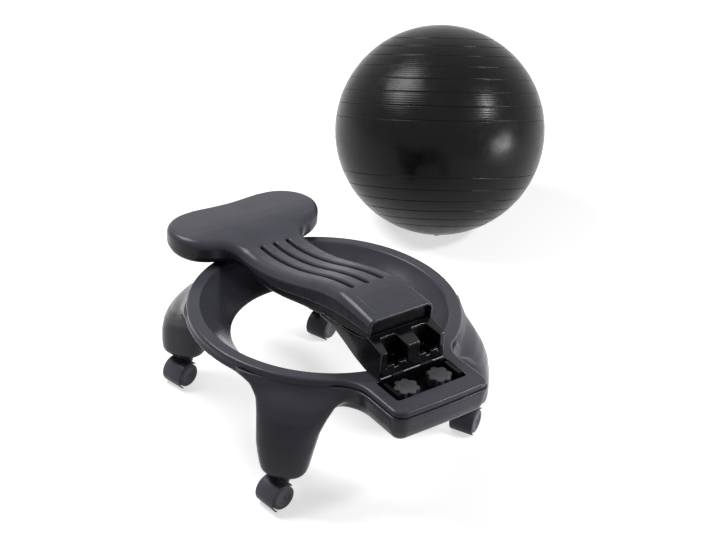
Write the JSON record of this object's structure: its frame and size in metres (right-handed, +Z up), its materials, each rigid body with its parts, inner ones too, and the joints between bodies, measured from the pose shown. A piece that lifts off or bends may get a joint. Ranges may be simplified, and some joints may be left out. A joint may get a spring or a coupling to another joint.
{
  "type": "balance ball chair",
  "caption": "Balance ball chair: moulded ring base on castered legs, folding lumbar backrest on a sliding hinge bracket, and a separate inflated seat ball.",
  "frame": {"origin": "middle of the whole set's footprint on the floor: ring base, backrest and ball together", "axes": "+Z up, the sitter on the chair faces -Y, the deck with the backrest hinge lies towards +Y, +X to the left hand of the sitter"},
  "size_m": [1.2506, 1.1642, 0.52],
  "materials": {
    "charcoal_plastic": "satin moulded",
    "black_plastic": "glossy moulded",
    "knob_plastic": "matte moulded",
    "caster_plastic": "satin moulded",
    "ball_rubber": "semi-gloss vinyl with fine grooves",
    "steel": "plain zinc plated",
    "valve_plastic": "plain"
  },
  "bodies": {
    "base": {"base_shell": "charcoal_plastic", "caster_socket_rear_left": "black_plastic", "caster_socket_rear_right": "black_plastic", "caster_socket_front_left": "black_plastic", "caster_socket_front_right": "black_plastic"},
    "caster_rear_left": {"caster_stem_rear_left": "steel", "caster_hood_rear_left": "caster_plastic", "caster_axle_rear_left": "steel"},
    "wheel_rear_left_inner": {"caster_wheel_rear_left_inner": "caster_plastic"},
    "wheel_rear_left_outer": {"caster_wheel_rear_left_outer": "caster_plastic"},
    "caster_rear_right": {"caster_stem_rear_right": "steel", "caster_hood_rear_right": "caster_plastic", "caster_axle_rear_right": "steel"},
    "wheel_rear_right_inner": {"caster_wheel_rear_right_inner": "caster_plastic"},
    "wheel_rear_right_outer": {"caster_wheel_rear_right_outer": "caster_plastic"},
    "caster_front_left": {"caster_stem_front_left": "steel", "caster_hood_front_left": "caster_plastic", "caster_axle_front_left": "steel"},
    "wheel_front_left_inner": {"caster_wheel_front_left_inner": "caster_plastic"},
    "wheel_front_left_outer": {"caster_wheel_front_left_outer": "caster_plastic"},
    "caster_front_right": {"caster_stem_front_right": "steel", "caster_hood_front_right": "caster_plastic", "caster_axle_front_right": "steel"},
    "wheel_front_right_inner": {"caster_wheel_front_right_inner": "caster_plastic"},
    "wheel_front_right_outer": {"caster_wheel_front_right_outer": "caster_plastic"},
    "clamp_left": {"clamp_bolt_left": "steel", "clamp_washer_left": "steel", "star_knob_left": "knob_plastic"},
    "clamp_right": {"clamp_bolt_right": "steel", "clamp_washer_right": "steel", "star_knob_right": "knob_plastic"},
    "bracket": {"slide_bracket": "black_plastic", "slide_tongue_left": "black_plastic", "slide_tongue_middle": "black_plastic", "slide_tongue_right": "black_plastic", "stop_rail_left": "black_plastic", "stop_rail_right": "black_plastic", "hinge_lug_left": "black_plastic", "hinge_lug_right": "black_plastic", "hinge_pin": "steel"},
    "backrest": {"backrest_foot": "black_plastic", "backrest_rear_shell": "charcoal_plastic", "backrest_front_shell": "charcoal_plastic"},
    "ball": {"seat_ball": "ball_rubber"},
    "valve": {"valve_plug": "valve_plastic"}
  },
  "joints": [
    {"name": "caster_rear_left_swivel", "type": "hinge", "parent": "base", "child": "caster_rear_left", "pos_m": [0.56955, 0.40409, 0.06], "axis": [0, 0, 1], "continuous": true},
    {"name": "wheel_rear_left_inner_roll", "type": "hinge", "parent": "caster_rear_left", "child": "wheel_rear_left_inner", "pos_m": [0.58581, 0.41112, 0.025], "axis": [0.1219, -0.9925, 0], "continuous": true},
    {"name": "wheel_rear_left_outer_roll", "type": "hinge", "parent": "caster_rear_left", "child": "wheel_rear_left_outer", "pos_m": [0.58703, 0.4012, 0.025], "axis": [0.1219, -0.9925, 0], "continuous": true},
    {"name": "caster_rear_right_swivel", "type": "hinge", "parent": "base", "child": "caster_rear_right", "pos_m": [0.11355, 0.40409, 0.06], "axis": [0, 0, 1], "continuous": true},
    {"name": "wheel_rear_right_inner_roll", "type": "hinge", "parent": "caster_rear_right", "child": "wheel_rear_right_inner", "pos_m": [0.12643, 0.41626, 0.025], "axis": [0.454, -0.891, 0], "continuous": true},
    {"name": "wheel_rear_right_outer_roll", "type": "hinge", "parent": "caster_rear_right", "child": "wheel_rear_right_outer", "pos_m": [0.13097, 0.40735, 0.025], "axis": [0.454, -0.891, 0], "continuous": true},
    {"name": "caster_front_left_swivel", "type": "hinge", "parent": "base", "child": "caster_front_left", "pos_m": [0.52155, -0.03591, 0.06], "axis": [0, 0, 1], "continuous": true},
    {"name": "wheel_front_left_inner_roll", "type": "hinge", "parent": "caster_front_left", "child": "wheel_front_left_inner", "pos_m": [0.53684, -0.02695, 0.025], "axis": [0.2419, -0.9703, 0], "continuous": true},
    {"name": "wheel_front_left_outer_roll", "type": "hinge", "parent": "caster_front_left", "child": "wheel_front_left_outer", "pos_m": [0.53926, -0.03665, 0.025], "axis": [0.2419, -0.9703, 0], "continuous": true},
    {"name": "caster_front_right_swivel", "type": "hinge", "parent": "base", "child": "caster_front_right", "pos_m": [0.16155, -0.03591, 0.06], "axis": [0, 0, 1], "continuous": true},
    {"name": "wheel_front_right_inner_roll", "type": "hinge", "parent": "caster_front_right", "child": "wheel_front_right_inner", "pos_m": [0.17581, -0.0254, 0.025], "axis": [0.342, -0.9397, 0], "continuous": true},
    {"name": "wheel_front_right_outer_roll", "type": "hinge", "parent": "caster_front_right", "child": "wheel_front_right_outer", "pos_m": [0.17924, -0.0348, 0.025], "axis": [0.342, -0.9397, 0], "continuous": true},
    {"name": "clamp_left_turn", "type": "hinge", "parent": "base", "child": "clamp_left", "pos_m": [0.37955, 0.51009, 0.24], "axis": [0, 0, 1], "continuous": true},
    {"name": "clamp_right_turn", "type": "hinge", "parent": "base", "child": "clamp_right", "pos_m": [0.30355, 0.51009, 0.24], "axis": [0, 0, 1], "continuous": true},
    {"name": "bracket_slide", "type": "slide", "parent": "base", "child": "bracket", "axis": [0, 1, 0], "range_m": [0, 0.008]},
    {"name": "backrest_fold", "type": "hinge", "parent": "bracket", "child": "backrest", "pos_m": [0.34155, 0.47509, 0.2598], "axis": [-1, 0, 0], "range_deg": [0, 90]},
    {"name": "ball_lift", "type": "slide", "parent": "base", "child": "ball", "axis": [0, 0, 1], "range_m": [0, 0.3]},
    {"name": "valve_pull", "type": "slide", "parent": "ball", "child": "valve", "axis": [0.1929, 0.3211, -0.9272], "range_m": [0, 0.014]}
  ]
}
